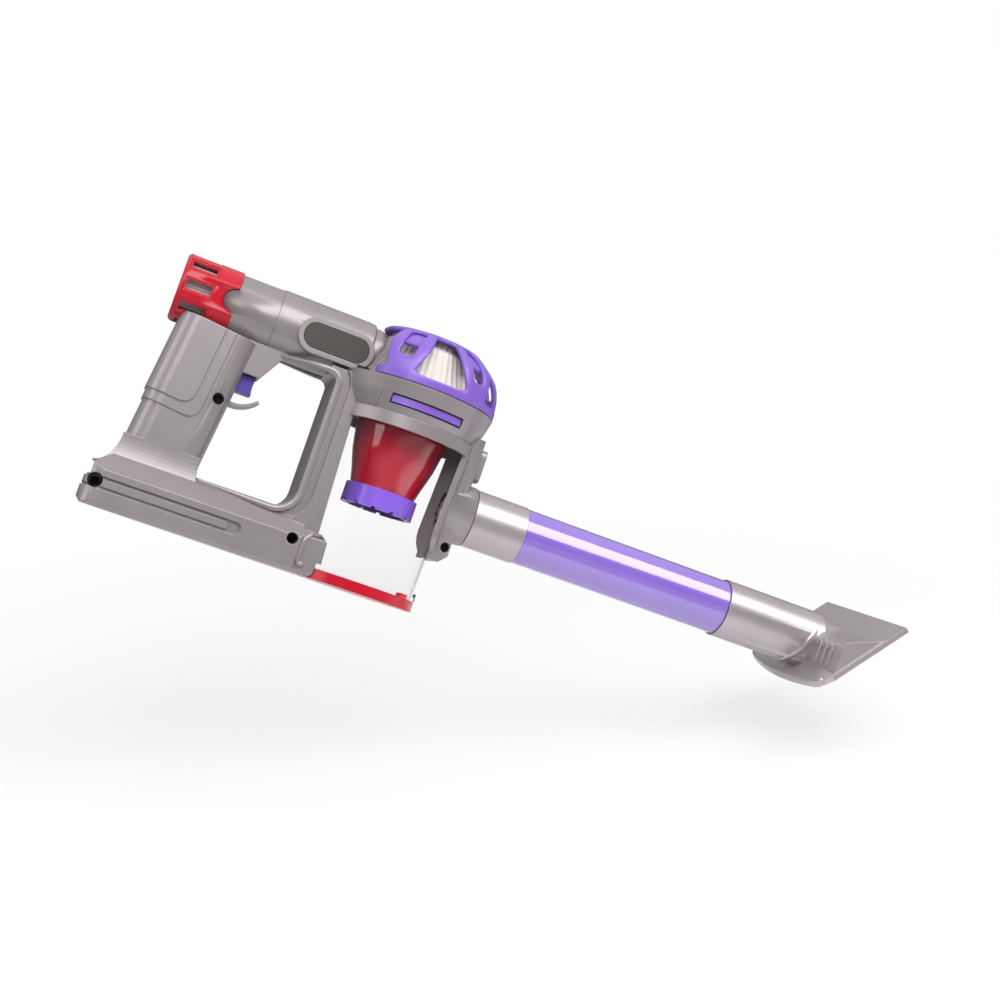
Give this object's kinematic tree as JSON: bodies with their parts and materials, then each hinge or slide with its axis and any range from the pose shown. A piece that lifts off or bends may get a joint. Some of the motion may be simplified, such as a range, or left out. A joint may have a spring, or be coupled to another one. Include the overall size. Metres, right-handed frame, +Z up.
{
  "type": "toy vacuum cleaner",
  "caption": "Toy hand-held vacuum cleaner: gun-shaped grey housing, clear cyclone bin with drop flap, plug-in purple wand and a turning wedge nozzle.",
  "frame": {"origin": "centre of the bin flap's underside, on the resting plane under the bin axis", "axes": "+X forward along the wand, +Y to the left, +Z up"},
  "size_m": [0.3943, 0.0933, 0.127],
  "materials": {
    "grey_shell": "satin moulded",
    "grey_trim": "satin moulded",
    "purple_trim": "gloss moulded",
    "purple_dark": "gloss moulded",
    "purple_tube": "high gloss tube",
    "red_trim": "gloss moulded",
    "clear_bin": "clear gloss",
    "badge_face": "satin",
    "ivory_filter": "matte pleated",
    "silver_grey": "satin metallic",
    "dark_screw": "blackened",
    "spring_steel": "bright",
    "black_part": "matte",
    "motor_can": "plain",
    "cell_sleeve": "plain sleeve",
    "fan_plastic": "matte"
  },
  "bodies": {
    "body": {"shell_right": "grey_shell", "shell_left": "grey_shell", "body_screws": "dark_screw", "vent_cap": "red_trim", "vent_core": "grey_trim", "badge_plate": "badge_face", "trigger_spring": "spring_steel", "trigger_switch": "black_part", "motor": "motor_can", "motor_mount": "black_part", "cage": "purple_trim", "cage_clip": "purple_trim", "filter_cone": "ivory_filter", "filter_grille": "grey_trim", "dust_bin": "clear_bin", "cyclone_bell": "red_trim", "cyclone_ring": "purple_trim", "flap_pin": "spring_steel", "button_spring": "spring_steel", "battery_door": "grey_trim", "door_screw": "dark_screw", "battery_cells": "cell_sleeve", "battery_contacts": "spring_steel"},
    "trigger": {"trigger": "purple_dark"},
    "fan": {"fan_impeller": "fan_plastic"},
    "flap": {"bin_flap": "red_trim"},
    "button": {"release_button": "grey_trim"},
    "wand": {"wand_connector": "silver_grey", "wand_tube": "purple_tube"},
    "nozzle": {"nozzle": "silver_grey"}
  },
  "joints": [
    {"name": "trigger_press", "type": "slide", "parent": "body", "child": "trigger", "axis": [-1, 0, 0], "range_m": [0, 0.003], "stiffness_N_per_m": 400, "springref_m": -0.002},
    {"name": "fan_spin", "type": "hinge", "parent": "body", "child": "fan", "pos_m": [-0.082, 0, 0.1087], "axis": [1, 0, 0], "continuous": true},
    {"name": "flap_swing", "type": "hinge", "parent": "body", "child": "flap", "pos_m": [-0.05, 0, 0.0018], "axis": [0, 1, 0], "range_deg": [0, 80]},
    {"name": "button_press", "type": "slide", "parent": "body", "child": "button", "axis": [-1, 0, 0], "range_m": [0, 0.0014], "stiffness_N_per_m": 600, "springref_m": -0.001},
    {"name": "wand_pull", "type": "slide", "parent": "body", "child": "wand", "axis": [1, 0, 0], "range_m": [0, 0.02]},
    {"name": "nozzle_swivel", "type": "hinge", "parent": "wand", "child": "nozzle", "pos_m": [0.19, 0, 0.0526], "axis": [1, 0, 0], "continuous": true}
  ]
}
